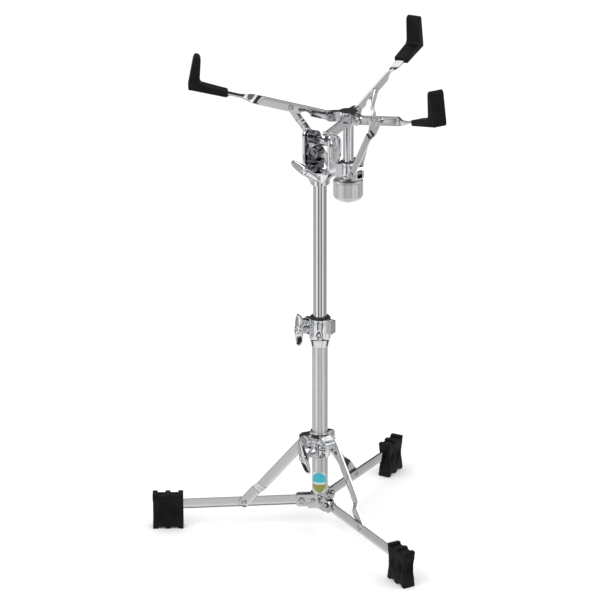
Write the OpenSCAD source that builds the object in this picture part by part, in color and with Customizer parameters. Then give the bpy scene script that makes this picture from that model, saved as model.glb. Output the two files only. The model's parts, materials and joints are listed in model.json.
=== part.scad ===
// Flat-base drum stand: folding tripod, telescoping column, tilter and three-arm basket.
// The origin is on the floor under the column, +Z is up, +X is to the right and +Y is to the rear.

/* [Column] */
// Outer diameter of the lower tube
lower_tube_d = 22.2; // [20:0.1:26]
// Outer diameter of the upper tube
upper_tube_d = 19.05; // [17:0.05:20]
// Radial running clearance between the tubes
tube_fit = 0.075; // [0.05:0.005:0.1]
// Height of the top end of the lower tube
lower_tube_top = 300; // [270:1:330]
// Height of the bottom end of the upper tube at rest
upper_tube_bottom = 190; // [185:1:230]
// Height of the top end of the upper tube at rest
upper_tube_top = 526; // [500:1:560]

/* [Base] */
// Turn of the whole tripod about the column
base_yaw = 1; // [-10:1:10]
// Distance of a leg's hinge from the column axis
leg_pivot_r = 26; // [24:0.5:30]
// Height of a leg's hinge
leg_pivot_z = 40.5; // [36:0.5:50]
// Downward slope of a leg towards its foot
leg_slope = 1.9; // [0:0.1:4]
// Height of a leg bar's section
leg_bar_h = 14; // [10:0.5:16]
// Thickness of a leg bar
leg_bar_t = 3; // [2:0.5:3]
// Distance from a leg's hinge to its brace rivet
rivet_reach = 81; // [70:1:95]
// Width of a brace strip
brace_w = 15; // [12:0.5:16]
// Thickness of a brace strip and of a link strip
strip_t = 2.5; // [2:0.1:2.5]
// Distance of a brace's hinge on the collar from the column axis
brace_top_r = 22; // [20:0.5:24]
// Height of a brace's hinge on the collar at rest
brace_top_z = 134; // [125:1:145]

/* [Feet] */
// Distance of a foot's inner end from the column axis
foot_in_r = 192.5; // [180:0.5:200]
// Length of a rubber foot
foot_len = 43; // [38:1:50]
// Width of a rubber foot
foot_w = 18.5; // [16:0.5:22]
// Height of a rubber foot
foot_h = 52; // [48:1:60]

/* [Tilter] */
// Height of the tilt axle
axle_z = 575; // [570:1:585]
// Direction from the column to the basket
tilter_az = 60; // [0:5:90]
// Half of the gap between the yoke's arms
yoke_half_gap = 17.5; // [16:0.5:19]
// Width of the yoke's arms
yoke_w = 22; // [20:1:24]

/* [Basket] */
// Distance from the column axis to the basket axis
basket_offset = 78; // [76:1:85]
// Turn of the basket about its own axis
basket_yaw = 3; // [0:1:5]
// Distance of an arm's hinge from the basket axis
arm_pivot_r = 25; // [24:0.5:26]
// Height of an arm's hinge
arm_pivot_z = 585; // [584:0.5:586]
// Upward slope of an open arm
arm_slope = 14; // [13:0.5:15]
// Distance from an arm's hinge to its link screw
link_reach = 55.6; // [54:0.2:57]
// Distance of a link's hinge on the slider from the basket axis
link_foot_r = 22; // [21:0.5:23]
// Height of a link's hinge on the slider at rest
link_foot_z = 508; // [507:0.5:509]
// Diameter of the basket post
post_d = 15; // [14:0.5:15]
// Diameter of the basket knob
knob_d = 42; // [38:1:44]

/* [Hidden] */
$fn = 48;

// Colours
chrome = "#c9cdd2";
satin = "#b2b5b8";
dark_chrome = "#8f9499";
rubber = "#1b1b1d";
plastic = "#101012";
brass = "#b59a55";

// Fits and clearances
pin_fit = 0.05;
plane_gap = 0.3;
thread_r = 3;
rivet_r = 2.5;
eps = 0.01;

// Column
lower_r = lower_tube_d / 2;
upper_r = upper_tube_d / 2;
lower_bore_r = upper_r + tube_fit;
upper_wall = 1.5;
flange_z = 50;
flange_top = 52;
spigot_top = 70;
tube_plug_h = 8;

// Hub
ear_gap = 3.5;
plate_t = 2;
plate_end_r = 34;
plate_h = 18;
plate_corner = 3;
hub_bottom = 28;
hub_arm_r = 17;
plate_screw_r = 10;
bush_r = 5.5;

// Height clamp
clamp_r = 15;
clamp_bottom = 274;
clamp_cone = 286;
clamp_top = 315;
bush_outer_r = 13.3;
bush_top = 317;
clamp_ear_az = 145;
clamp_ear_r = 21;
clamp_bolt_z = 298;
clamp_ear_half = 8;
clamp_wing_y = 16.5;
clamp_lug_az = -35;
clamp_slit_az = -95;

// Wing nuts and wing screw
wing_span = 48;
wing_hub_r = 5.8;
wing_tip_r = 4.2;
wing_t = 8;

// Brace collar
collar_bottom = 108;
collar_top = 146;
collar_wall_r = 14.6;
collar_bore_r = lower_r + pin_fit;
collar_ear_half = 8;
collar_ear_r = 29;
collar_screw_az = -125;
collar_screw_z = 117.5;
collar_wing_r = 38;
brace_low_t = leg_bar_t / 2 + plane_gap;
brace_high_t = collar_ear_half + plane_gap;
rivet_drop = rivet_reach * sin(leg_slope);
rivet_r_pos = leg_pivot_r + rivet_reach * cos(leg_slope);
rivet_z_pos = leg_pivot_z - rivet_drop;
brace_dx = rivet_r_pos - brace_top_r;
brace_dz = brace_top_z - rivet_z_pos;
brace_len = sqrt(brace_dx * brace_dx + brace_dz * brace_dz);
brace_ang = atan2(brace_dz, brace_dx);
joggle_start = 26;
joggle_end = 38;

// Feet
bar_end = foot_in_r + foot_len - 10 - leg_pivot_r;

// Tilter
yoke_arm_t = 4;
yoke_out = yoke_half_gap + yoke_arm_t;
yoke_bottom = 510;
yoke_in_z = 545;
yoke_out_z = 532;
axle_r = 4;
drum_r = 9.2;
drum_left = -16.5;
drum_right = -3;
eye_left = 5.5;
eye_right = 12;
eye_r = 9.8;
barrel_r = 5;
shoe_x = -6;
shoe_z = 554.5;
shoe_r = 8;
tilt_bolt_x = -8;
tilt_bolt_z = 533.5;
tilt_wing_y = -26;

// Basket
hub_r = 13;
hub_bottom_z = 574;
hub_top_z = 592;
ear_in = 1.8;
ear_out = 4.8;
ear_end = 7;
slider_bottom = 499;
slider_top = 517;
slider_half = 7;
slider_ear_r = 29;
post_bottom = 497.5;
rod_r = 4;
rod_bottom = 460;
knob_bottom = 461;
knob_top = 493;
knob_nut_top = 470;
recess_r = 8.6;
arm_h = 13;
arm_t = 3;
arm_flat_start = 112;
arm_flat_end = 188;
arm_flat_w = 12;
tip_start = 144.3;
tip_half_w = 10;
tip_half_h = 4;
tip_in_r = 203;
tip_out_r = 219;
tip_top_in_r = 201;
tip_top_out_r = 210.5;
tip_top_z = 675;
link_w = 11;
link_low_t = slider_half + plane_gap;
link_high_t = arm_t / 2 + plane_gap;
link_top_r = arm_pivot_r + link_reach * cos(arm_slope);
link_top_z = arm_pivot_z + link_reach * sin(arm_slope);
link_dx = link_top_r - link_foot_r;
link_dz = link_top_z - link_foot_z;
link_len = sqrt(link_dx * link_dx + link_dz * link_dz);
link_ang = atan2(link_dz, link_dx);

function leg_az(k) = 180 + 120 * (k - 1) + base_yaw;
function arm_az(k) = 180 + 120 * (k - 1) + basket_yaw;
// A point on a basket arm, s along it from its hinge and n above its middle line
function on_arm(s, n) = [
    arm_pivot_r + s * cos(arm_slope) - n * sin(arm_slope),
    arm_pivot_z + s * sin(arm_slope) + n * cos(arm_slope)
];

// Radial frame: local x runs outwards, local y to the left of someone looking outwards
module toward(az) { rotate([0, 0, az]) children(); }
module basket_frame() {
    rotate([0, 0, tilter_az]) translate([basket_offset, 0, 0]) rotate([0, 0, -tilter_az]) children();
}
// Tilter frame: local x runs along the axle to the right, local y towards the basket
module tilter_frame() { rotate([0, 0, tilter_az - 90]) children(); }
// A flat outline drawn in radius and height, standing upright between two side offsets
module slab(y0, y1) { translate([0, y1, 0]) rotate([90, 0, 0]) linear_extrude(height = y1 - y0) children(); }
module pin_y(r, y0, y1) { translate([0, y0, 0]) rotate([-90, 0, 0]) cylinder(r = r, h = y1 - y0); }
module pin_x(r, x0, x1) { translate([x0, 0, 0]) rotate([0, 90, 0]) cylinder(r = r, h = x1 - x0); }
module hex_y(r, y0, y1) { translate([0, y0, 0]) rotate([-90, 0, 0]) cylinder(r = r, h = y1 - y0, $fn = 6); }

// Two-lobed wing seen along its screw's axis, which is +Z, on a hub that reaches back by neck
module wing(bore, neck) {
    difference() {
        union() {
            linear_extrude(height = wing_t) wing_outline();
            translate([0, 0, -neck]) cylinder(r = wing_hub_r, h = wing_t + neck + 1);
        }
        translate([0, 0, -neck - 1]) cylinder(r = bore, h = wing_t + neck + 3);
    }
}
module wing_outline() {
    tip_x = wing_span / 2 - wing_tip_r;
    circle(r = wing_hub_r + 0.6);
    for (side = [0, 1]) mirror([side, 0]) {
        translate([tip_x, 0]) circle(r = wing_tip_r);
        polygon([[0, -wing_hub_r], [tip_x, -wing_tip_r], [tip_x, wing_tip_r], [0, wing_hub_r]]);
    }
}

// ---------- base ----------
module hub_casting() {
    color(chrome) {
        for (k = [1:3]) toward(leg_az(k)) difference() {
            translate([0, -ear_gap, hub_bottom]) cube([hub_arm_r, 2 * ear_gap, flange_z - hub_bottom]);
            translate([plate_screw_r, 0, leg_pivot_z]) pin_y(rivet_r, -ear_gap - 1, ear_gap + 1);
        }
        translate([0, 0, flange_z]) cylinder(r = hub_r, h = flange_top - flange_z);
        translate([0, 0, flange_top]) cylinder(r = lower_bore_r - pin_fit, h = spigot_top - flange_top);
        translate([0, 0, hub_bottom - 1]) cylinder(r = 4, h = 2);
    }
}
// A point turned from one leg's radial frame to the next leg's
function next_leg(p) = [p[0] * cos(120) - p[1] * sin(120), p[0] * sin(120) + p[1] * cos(120)];
// A strip bent round the hub from one leg's ear to the next leg's ear
module hub_plate(k) {
    near = ear_gap;
    far = ear_gap + plate_t;
    color(chrome) toward(leg_az(k)) difference() {
        translate([0, 0, leg_pivot_z - plate_h / 2]) linear_extrude(height = plate_h) polygon([
            [plate_end_r, near],
            [near / tan(60), near],
            next_leg([plate_end_r, -near]),
            next_leg([plate_end_r, -far]),
            [far / tan(60), far],
            [plate_end_r, far]
        ]);
        for (turn = [0, 120]) toward(turn) hub_plate_cuts();
    }
}
// Holes and cut corners of one ear
module hub_plate_cuts() {
    translate([leg_pivot_r, 0, leg_pivot_z]) pin_y(thread_r, -10, 10);
    translate([plate_screw_r, 0, leg_pivot_z]) pin_y(rivet_r, -10, 10);
    for (side = [0, 1]) translate([plate_end_r, 0, leg_pivot_z]) mirror([0, 0, side]) slab(-10, 10) polygon([
        [-plate_corner, plate_h / 2 + 1],
        [-plate_corner, plate_h / 2],
        [0, plate_h / 2 - plate_corner],
        [1, plate_h / 2 - plate_corner],
        [1, plate_h / 2 + 1]
    ]);
}
module plate_screws() {
    out = ear_gap + plate_t;
    color(dark_chrome) for (k = [1:3]) toward(leg_az(k)) translate([plate_screw_r, 0, leg_pivot_z]) {
        pin_y(rivet_r, -out, out);
        pin_y(3.6, out, out + 2);
        pin_y(3.6, -out - 2, -out);
    }
}
module leg_bolts() {
    out = ear_gap + plate_t;
    color(dark_chrome) for (k = [1:3]) toward(leg_az(k)) translate([leg_pivot_r, 0, leg_pivot_z]) {
        pin_y(thread_r, -out, out);
        hex_y(4.6, out, out + 3);
        hex_y(4.6, -out - 3, -out);
    }
}
module lower_tube() {
    color(satin) difference() {
        translate([0, 0, flange_top]) cylinder(r = lower_r, h = lower_tube_top - flange_top);
        translate([0, 0, flange_top - 1]) cylinder(r = lower_bore_r, h = lower_tube_top - flange_top + 2);
    }
}
// Plain label with cut corners on the front of the tube
module tube_label() {
    half_h = 15.5;
    half_w = 9;
    cut = 2.5;
    color("teal") toward(-100) intersection() {
        translate([0, 0, 70.5]) difference() {
            translate([0, 0, -half_h - 1]) cylinder(r = lower_r + 0.4, h = 2 * half_h + 2);
            translate([0, 0, -half_h - 2]) cylinder(r = lower_r, h = 2 * half_h + 4);
        }
        translate([0, 0, 70.5]) rotate([90, 0, 90]) linear_extrude(height = 14) polygon([
            [-half_w, cut - half_h],
            [cut - half_w, -half_h],
            [half_w - cut, -half_h],
            [half_w, cut - half_h],
            [half_w, half_h - cut],
            [half_w - cut, half_h],
            [cut - half_w, half_h],
            [-half_w, half_h - cut]
        ]);
    }
}
module clamp_bolt_place() {
    toward(clamp_ear_az) translate([clamp_ear_r, 0, clamp_bolt_z]) children();
}
module clamp_body() {
    color(chrome) difference() {
        union() {
            translate([0, 0, clamp_cone]) cylinder(r = clamp_r, h = clamp_top - clamp_cone);
            translate([0, 0, clamp_bottom])
                cylinder(r1 = lower_r + 0.8, r2 = clamp_r, h = clamp_cone - clamp_bottom);
            toward(clamp_ear_az) translate([lower_r, -clamp_ear_half, 289])
                cube([15.5, 2 * clamp_ear_half, 20]);
            toward(clamp_lug_az) translate([lower_r, -5.5, 296]) cube([11.5, 11, 18]);
        }
        translate([0, 0, clamp_bottom - 1]) cylinder(r = lower_r, h = lower_tube_top - clamp_bottom + 1);
        translate([0, 0, lower_tube_top - eps]) cylinder(r = bush_outer_r, h = 30);
        toward(clamp_ear_az) translate([lower_r - 2, -1, clamp_cone]) cube([30, 2, 40]);
        clamp_bolt_place() pin_y(thread_r, -10, 10);
        toward(clamp_lug_az) translate([lower_r + 7.5, 0, 290]) cylinder(r = rivet_r, h = 30);
        toward(clamp_slit_az) translate([clamp_r - 1.5, -5, 291]) cube([5, 10, 1.4]);
    }
}
module clamp_bushing() {
    color(plastic) difference() {
        translate([0, 0, lower_tube_top]) cylinder(r = bush_outer_r, h = bush_top - lower_tube_top);
        translate([0, 0, lower_tube_top - 1]) cylinder(r = lower_bore_r, h = 30);
    }
}
module clamp_bolt() {
    color(dark_chrome) clamp_bolt_place() {
        pin_y(thread_r, -clamp_ear_half, clamp_wing_y + 6);
        pin_y(5, -clamp_ear_half - 3, -clamp_ear_half);
    }
}
module clamp_hinge_pin() {
    color(dark_chrome) toward(clamp_lug_az) translate([lower_r + 7.5, 0, 294]) {
        cylinder(r = rivet_r, h = 20);
        translate([0, 0, 20]) cylinder(r = 3.6, h = 1.2);
        translate([0, 0, 0.8]) cylinder(r = 3.6, h = 1.2);
    }
}
module height_wing_nut() {
    neck = clamp_wing_y - clamp_ear_half - 0.5;
    color(chrome) clamp_bolt_place() translate([0, clamp_wing_y, 0]) rotate([-90, 90, 0])
        wing(thread_r + pin_fit, neck);
}

// ---------- sliding collar and braces ----------
module brace_collar() {
    color(chrome) difference() {
        union() {
            rotate_extrude() polygon([
                [lower_r, collar_bottom],
                [collar_wall_r - 1, collar_bottom],
                [collar_wall_r, collar_bottom + 1],
                [collar_wall_r, 130],
                [16, 136],
                [15.6, 139],
                [13.4, 143.5],
                [13.2, collar_top],
                [lower_r, collar_top]
            ]);
            for (k = [1:3]) toward(leg_az(k)) slab(-collar_ear_half, collar_ear_half) polygon([
                [lower_r, 121],
                [collar_ear_r - 4, 121],
                [collar_ear_r, 126],
                [collar_ear_r, 136],
                [collar_ear_r - 4, 139.5],
                [14, 141.5],
                [lower_r, 141.5]
            ]);
            toward(collar_screw_az) translate([0, 0, collar_screw_z]) pin_x(5.5, lower_r, 22);
        }
        translate([0, 0, collar_bottom - 1]) cylinder(r = collar_bore_r, h = 60);
        for (k = [1:3]) toward(leg_az(k)) {
            translate([collar_wall_r + 1.2, -collar_ear_half + 2.5, 119])
                cube([20, 2 * collar_ear_half - 5, 15.5]);
            translate([brace_top_r, 0, brace_top_z]) pin_y(rivet_r, -20, 20);
        }
        toward(collar_screw_az) translate([0, 0, collar_screw_z]) pin_x(thread_r + pin_fit, 5, 25);
    }
}
module brace_pins() {
    out = brace_high_t + strip_t + plane_gap;
    color(dark_chrome) for (k = [1:3]) toward(leg_az(k)) translate([brace_top_r, 0, brace_top_z]) {
        pin_y(rivet_r, -collar_ear_half, out);
        pin_y(4, out, out + 1.8);
        pin_y(4, -collar_ear_half - 1.8, -collar_ear_half);
    }
}
module collar_wing_screw() {
    color(chrome) toward(collar_screw_az) translate([0, 0, collar_screw_z]) {
        pin_x(thread_r, lower_r + 0.4, collar_wing_r + 4);
        translate([collar_wing_r - 3, 0, 0]) rotate([0, 90, 0]) rotate([0, 0, 20]) wing(thread_r - 1, 3);
    }
}
// Strip with two straight planes and a joggle between them, s measured from its lower hinge
module joggled(length, low, high, s0, s1, margin) {
    polygon([
        [-margin, low],
        [s0, low],
        [s1, high],
        [length + margin, high],
        [length + margin, high + strip_t],
        [s1, high + strip_t],
        [s0, low + strip_t],
        [-margin, low + strip_t]
    ]);
}
module strip_outline(length, w, corner) {
    circle(r = w / 2);
    translate([0, -w / 2]) square([length + w / 2 - corner, w]);
    translate([length, -w / 2 + corner]) square([w / 2, w - 2 * corner]);
    for (y = [-1, 1]) translate([length + w / 2 - corner, y * (w / 2 - corner)]) circle(r = corner);
}
module brace(k) {
    color(satin) toward(leg_az(k)) translate([rivet_r_pos, 0, rivet_z_pos]) rotate([0, brace_ang - 180, 0]) {
        difference() {
            intersection() {
                translate([0, 0, -brace_w]) linear_extrude(height = 2 * brace_w)
                    joggled(brace_len, brace_low_t, brace_high_t, joggle_start, joggle_end, brace_w);
                slab(-1, 20) strip_outline(brace_len, brace_w, 6);
            }
            translate([brace_len, 0, 0]) pin_y(rivet_r + pin_fit, 0, 20);
        }
        pin_y(4.2, brace_low_t + strip_t, brace_low_t + strip_t + 2);
    }
}
module leg_place(k) {
    toward(leg_az(k)) translate([leg_pivot_r, 0, leg_pivot_z]) rotate([0, leg_slope, 0]) children();
}
module leg_bar(k) {
    half_h = leg_bar_h / 2;
    half_t = leg_bar_t / 2;
    color(satin) leg_place(k) difference() {
        union() {
            slab(-half_t, half_t) {
                circle(r = half_h);
                translate([0, -half_h]) square([bar_end, leg_bar_h]);
            }
            pin_y(bush_r, -ear_gap + 0.2, ear_gap - 0.2);
        }
        pin_y(thread_r + pin_fit, -10, 10);
        translate([rivet_reach, 0, 0]) pin_y(rivet_r, -10, 10);
    }
}
module leg_rivet(k) {
    half_t = leg_bar_t / 2;
    color(dark_chrome) leg_place(k) translate([rivet_reach, 0, 0]) {
        pin_y(rivet_r, -half_t, half_t);
        pin_y(4.2, -half_t - 1.8, -half_t);
    }
}
// Side outline of a rubber foot: waisted ends, with three pads underneath and three bumps on top
module foot_outline() {
    pad_w = 7;
    relief = 2.5;
    gap = (foot_len - 3 * pad_w) / 2;
    difference() {
        square([foot_len, foot_h]);
        for (x = [pad_w, pad_w + gap + pad_w]) {
            translate([x, -1]) square([gap, relief + 1]);
            translate([x, foot_h - relief]) square([gap, relief + 1]);
        }
        for (end = [0, 1]) translate([end * foot_len, foot_h / 2]) waist_cut(2);
    }
}
module waist_cut(depth) {
    reach = 17;
    r = (reach * reach + depth * depth) / (2 * depth);
    for (side = [-1, 1]) translate([side * (r - depth), 0]) intersection() {
        circle(r = r, $fn = 120);
        translate([-side * r, 0]) square([2 * depth + eps, 2 * reach + 2], center = true);
    }
}
module leg_foot(k) {
    half = foot_w / 2;
    color(rubber) difference() {
        toward(leg_az(k)) translate([foot_in_r, 0, 0]) slab(-half, half) foot_outline();
        leg_place(k) translate([foot_in_r - leg_pivot_r - 5, -leg_bar_t / 2, -leg_bar_h / 2])
            cube([bar_end - foot_in_r + leg_pivot_r + 5, leg_bar_t, leg_bar_h]);
        toward(leg_az(k)) translate([foot_in_r - 1, -3.2, 10]) cube([7, 6.4, 36]);
    }
}

// ---------- upper column and tilter ----------
module upper_tube() {
    h = upper_tube_top - upper_tube_bottom;
    color(chrome) difference() {
        translate([0, 0, upper_tube_bottom]) cylinder(r = upper_r, h = h);
        translate([0, 0, upper_tube_bottom - 1]) cylinder(r = upper_r - upper_wall, h = h + 2);
    }
}
module upper_tube_plug() {
    color(plastic) translate([0, 0, upper_tube_bottom - 2]) {
        cylinder(r = upper_r - 0.2, h = 2);
        translate([0, 0, 2]) cylinder(r = upper_r - upper_wall, h = tube_plug_h);
    }
}
module yoke_outline() {
    intersection() {
        difference() {
            union() {
                translate([-yoke_out, yoke_out_z]) square([2 * yoke_out, axle_z - yoke_out_z]);
                translate([0, yoke_out_z]) circle(r = yoke_out, $fn = 96);
            }
            translate([-yoke_half_gap, yoke_in_z]) square([2 * yoke_half_gap, 60]);
            translate([0, yoke_in_z]) circle(r = yoke_half_gap, $fn = 96);
        }
        translate([-50, yoke_bottom]) square([100, 100]);
    }
}
module tilter_yoke() {
    color(chrome) tilter_frame() difference() {
        union() {
            slab(-yoke_w / 2, yoke_w / 2) yoke_outline();
            translate([0, 0, axle_z]) {
                pin_x(yoke_w / 2, -yoke_out, -yoke_half_gap);
                pin_x(yoke_w / 2, yoke_half_gap, yoke_out);
            }
            translate([0, 0, yoke_bottom]) cylinder(r = 13.5, h = 14);
        }
        translate([0, 0, yoke_bottom - 1]) cylinder(r = upper_r + pin_fit, h = 40);
        translate([0, 0, axle_z]) pin_x(axle_r, -30, 30);
    }
}
module tilter_axle() {
    color(dark_chrome) tilter_frame() translate([0, 0, axle_z]) {
        pin_x(axle_r, -yoke_out, yoke_out);
        pin_x(8, -yoke_out - 2.5, -yoke_out);
    }
}
// Oval cover on the right arm with plain raised rings
module tilter_cover() {
    cover_z = 560.5;
    color(chrome) tilter_frame() translate([yoke_out, 3, cover_z]) rotate([0, 90, 0]) {
        linear_extrude(height = 2.5) cover_outline(14.5, 5.5);
        linear_extrude(height = 3.5) difference() {
            cover_outline(13, 5.5);
            cover_outline(11, 5.5);
        }
        cylinder(r = 5, h = 3.5);
    }
}
module cover_outline(r, shift) {
    for (s = [-1, 1]) translate([s * shift, 0]) circle(r = r);
    square([2 * shift, 2 * r], center = true);
}
module tilter_shoe() {
    color(dark_chrome) tilter_frame() difference() {
        union() {
            translate([shoe_x, 0, shoe_z]) pin_y(shoe_r, -9, 9);
            translate([shoe_x - 4, -7, 538]) cube([8, 14, 14]);
            translate([shoe_x - 9, -8, 541]) cube([18, 16, 3]);
            translate([shoe_x - 7, -11, 529.6]) cube([13, 22, 9.4]);
        }
        translate([0, 0, axle_z]) pin_x(drum_r + 0.4, -40, 40);
        translate([0, 0, yoke_in_z]) difference() {
            translate([-30, -30, -30]) cube([60, 60, 30]);
            pin_y(yoke_half_gap, -40, 40);
        }
        translate([tilt_bolt_x, 0, tilt_bolt_z]) pin_y(thread_r, -20, 20);
        translate([shoe_x, -9.5, shoe_z]) difference() {
            pin_y(6.2, 0, 2.5);
            pin_y(3, -1, 3);
        }
    }
}
module tilter_bolt() {
    color(dark_chrome) tilter_frame() translate([tilt_bolt_x, 0, tilt_bolt_z]) {
        pin_y(thread_r, -27, 11);
        pin_y(5, 11, 14);
    }
}
module tilter_wing_nut() {
    color(chrome) tilter_frame() translate([tilt_bolt_x, tilt_wing_y + wing_t / 2, tilt_bolt_z])
        rotate([90, 25, 0]) wing(thread_r + pin_fit, 3);
}
module tilt_drum() {
    flutes = 18;
    color(dark_chrome) tilter_frame() translate([0, 0, axle_z]) difference() {
        union() {
            pin_x(drum_r, drum_left, drum_right);
            pin_x(barrel_r, drum_right, eye_left);
        }
        pin_x(axle_r + pin_fit, -40, 40);
        for (i = [1:flutes]) rotate([i * 360 / flutes, 0, 0]) translate([0, 0, drum_r + 0.3])
            pin_x(1, drum_left + 3, drum_right - 3);
    }
}
module tilt_arm() {
    arm_top = 6;
    color(chrome) tilter_frame() difference() {
        union() {
            translate([0, 0, axle_z]) pin_x(eye_r, eye_left, eye_right);
            translate([eye_left - 2.5, 0, 0]) rotate([90, 0, 90]) linear_extrude(height = 8) polygon([
                [4, axle_z - 4.5],
                [basket_offset - 9, 577],
                [basket_offset - 9, 590],
                [4, axle_z + arm_top]
            ]);
        }
        translate([0, 0, axle_z]) {
            pin_x(axle_r + pin_fit, -40, 40);
            pin_x(barrel_r, 0, eye_left);
        }
        translate([0, basket_offset, 570]) cylinder(r = hub_r, h = 40);
        translate([0, basket_offset, 0]) toward(90 - tilter_az) for (k = [1:3]) toward(arm_az(k))
            slab(-ear_out - plane_gap, ear_out + plane_gap) translate([8, 570]) square([26, 40]);
    }
}

// ---------- basket ----------
module basket_post() {
    color(chrome) basket_frame() difference() {
        translate([0, 0, post_bottom]) cylinder(r = post_d / 2, h = hub_bottom_z - post_bottom);
        translate([0, 0, post_bottom - 1]) cylinder(r = rod_r, h = hub_bottom_z - post_bottom + 2);
    }
}
module basket_hub() {
    color(chrome) basket_frame() {
        difference() {
            union() {
                translate([0, 0, hub_bottom_z]) cylinder(r = hub_r, h = hub_top_z - hub_bottom_z);
                for (k = [1:3]) toward(arm_az(k)) slab(-ear_out, ear_out) {
                    translate([8, arm_pivot_z - ear_end]) square([arm_pivot_r - 8, 2 * ear_end]);
                    translate([arm_pivot_r, arm_pivot_z]) circle(r = ear_end);
                }
            }
            for (k = [1:3]) toward(arm_az(k)) {
                translate([arm_pivot_r - 8.5, -ear_in, 560]) cube([40, 2 * ear_in, 60]);
                translate([arm_pivot_r, 0, arm_pivot_z]) pin_y(rivet_r, -10, 10);
            }
            translate([0, 0, hub_bottom_z - 1]) cylinder(r = rod_r, h = 13);
        }
    }
}
module hub_pins() {
    color(dark_chrome) basket_frame() for (k = [1:3]) toward(arm_az(k))
        translate([arm_pivot_r, 0, arm_pivot_z]) {
            pin_y(rivet_r, -ear_out, ear_out);
            pin_y(4, ear_out, ear_out + 2);
            pin_y(4, -ear_out - 1.6, -ear_out);
        }
}
module thread_rod() {
    color(satin) basket_frame() translate([0, 0, rod_bottom])
        cylinder(r = rod_r, h = hub_bottom_z + 12 - rod_bottom);
}
module slider_hub() {
    color(chrome) basket_frame() difference() {
        union() {
            translate([0, 0, slider_bottom]) cylinder(r = 11.5, h = slider_top - slider_bottom + 2);
            translate([0, 0, slider_bottom - 4]) cylinder(r = 10.5, h = 5);
            for (k = [1:3]) toward(arm_az(k)) slab(-slider_half, slider_half) polygon([
                [6, slider_bottom],
                [slider_ear_r - 2, slider_bottom + 1],
                [slider_ear_r, slider_bottom + 4],
                [slider_ear_r, slider_top - 4],
                [slider_ear_r - 3, slider_top],
                [6, slider_top + 1]
            ]);
        }
        translate([0, 0, slider_bottom - 10]) cylinder(r = post_d / 2 + pin_fit, h = 50);
        for (k = [1:3]) toward(arm_az(k)) {
            translate([link_foot_r, 0, link_foot_z]) pin_y(rivet_r, -20, 20);
            translate([15, -slider_half + 3, slider_bottom + 3]) cube([30, 2 * slider_half - 6, 12]);
        }
    }
}
module slider_pins() {
    out = link_low_t + strip_t + plane_gap;
    color(dark_chrome) basket_frame() for (k = [1:3]) toward(arm_az(k))
        translate([link_foot_r, 0, link_foot_z]) {
            pin_y(rivet_r, -out, slider_half);
            pin_y(4, -out - 1.8, -out);
            pin_y(4, slider_half, slider_half + 1.8);
        }
}
module basket_knob() {
    r = knob_d / 2;
    flutes = 12;
    color(satin) basket_frame() difference() {
        rotate_extrude($fn = 96) polygon([
            [0, knob_bottom],
            [6, knob_bottom + 0.4],
            [r - 4, knob_bottom + 4],
            [r - 1, knob_bottom + 7],
            [r, knob_bottom + 10],
            [r, knob_top - 2],
            [r - 1.5, knob_top],
            [15, knob_top],
            [14, knob_top - 4],
            [recess_r, knob_top - 5],
            [recess_r, knob_nut_top],
            [0, knob_nut_top]
        ]);
        translate([0, 0, knob_bottom - 1]) cylinder(r = 6, h = knob_nut_top - knob_bottom + 2);
        for (i = [1:flutes]) rotate([0, 0, i * 360 / flutes]) translate([r + 5.2, 0, knob_bottom - 1])
            cylinder(r = 6, h = knob_top - knob_bottom - 3);
    }
}
module knob_nut() {
    color(brass) basket_frame() difference() {
        translate([0, 0, knob_bottom]) cylinder(r = 6, h = knob_nut_top - knob_bottom);
        translate([0, 0, knob_bottom - 1]) cylinder(r = rod_r + pin_fit, h = 20);
    }
}
module arm_place() {
    translate([arm_pivot_r, 0, arm_pivot_z]) rotate([0, -arm_slope, 0]) children();
}
module basket_arm(k) {
    half_t = arm_t / 2;
    half_h = arm_h / 2;
    color(chrome) basket_frame() toward(arm_az(k)) arm_place() {
        difference() {
            slab(-half_t, half_t) difference() {
                union() {
                    circle(r = half_h);
                    translate([0, -half_h]) square([arm_flat_start - 10, arm_h]);
                    polygon([
                        [arm_flat_start - 10, -half_h],
                        [arm_flat_start + 8, -1.25],
                        [arm_flat_start + 8, 1.25],
                        [arm_flat_start - 10, half_h]
                    ]);
                }
                translate([34, -half_h - 3]) circle(r = 8);
            }
            pin_y(rivet_r + pin_fit, -10, 10);
            translate([link_reach, 0, 0]) pin_y(rivet_r, -10, 10);
        }
        translate([arm_flat_start, -arm_flat_w / 2, -1.25])
            cube([arm_flat_end - arm_flat_start, arm_flat_w, 2.5]);
    }
}
// Moulded L-shaped grip: a flat run on the arm and an upright that leans in towards the drum
module arm_tip(k) {
    color(rubber) basket_frame() toward(arm_az(k)) difference() {
        slab(-tip_half_w, tip_half_w) polygon([
            on_arm(tip_start, -tip_half_h),
            [tip_out_r - 4, on_arm(196, -tip_half_h)[1] - 1.5],
            [tip_out_r - 0.5, 627.5],
            [tip_out_r, 632],
            [tip_top_out_r + 0.8, tip_top_z - 4],
            [tip_top_out_r - 2, tip_top_z],
            [tip_top_in_r + 2.5, tip_top_z - 1.5],
            [tip_top_in_r, tip_top_z - 5],
            [tip_in_r, 639],
            [tip_in_r - 2.5, 634.5],
            on_arm(tip_start, tip_half_h)
        ]);
        arm_place() translate([tip_start - 5, -arm_flat_w / 2, -1.25])
            cube([arm_flat_end - tip_start + 5, arm_flat_w, 2.5]);
    }
}
module arm_screw(k) {
    half_t = arm_t / 2;
    color(dark_chrome) basket_frame() toward(arm_az(k)) arm_place() translate([link_reach, 0, 0]) {
        pin_y(rivet_r, -half_t, half_t);
        pin_y(4, half_t, half_t + 2.2);
    }
}
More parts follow.
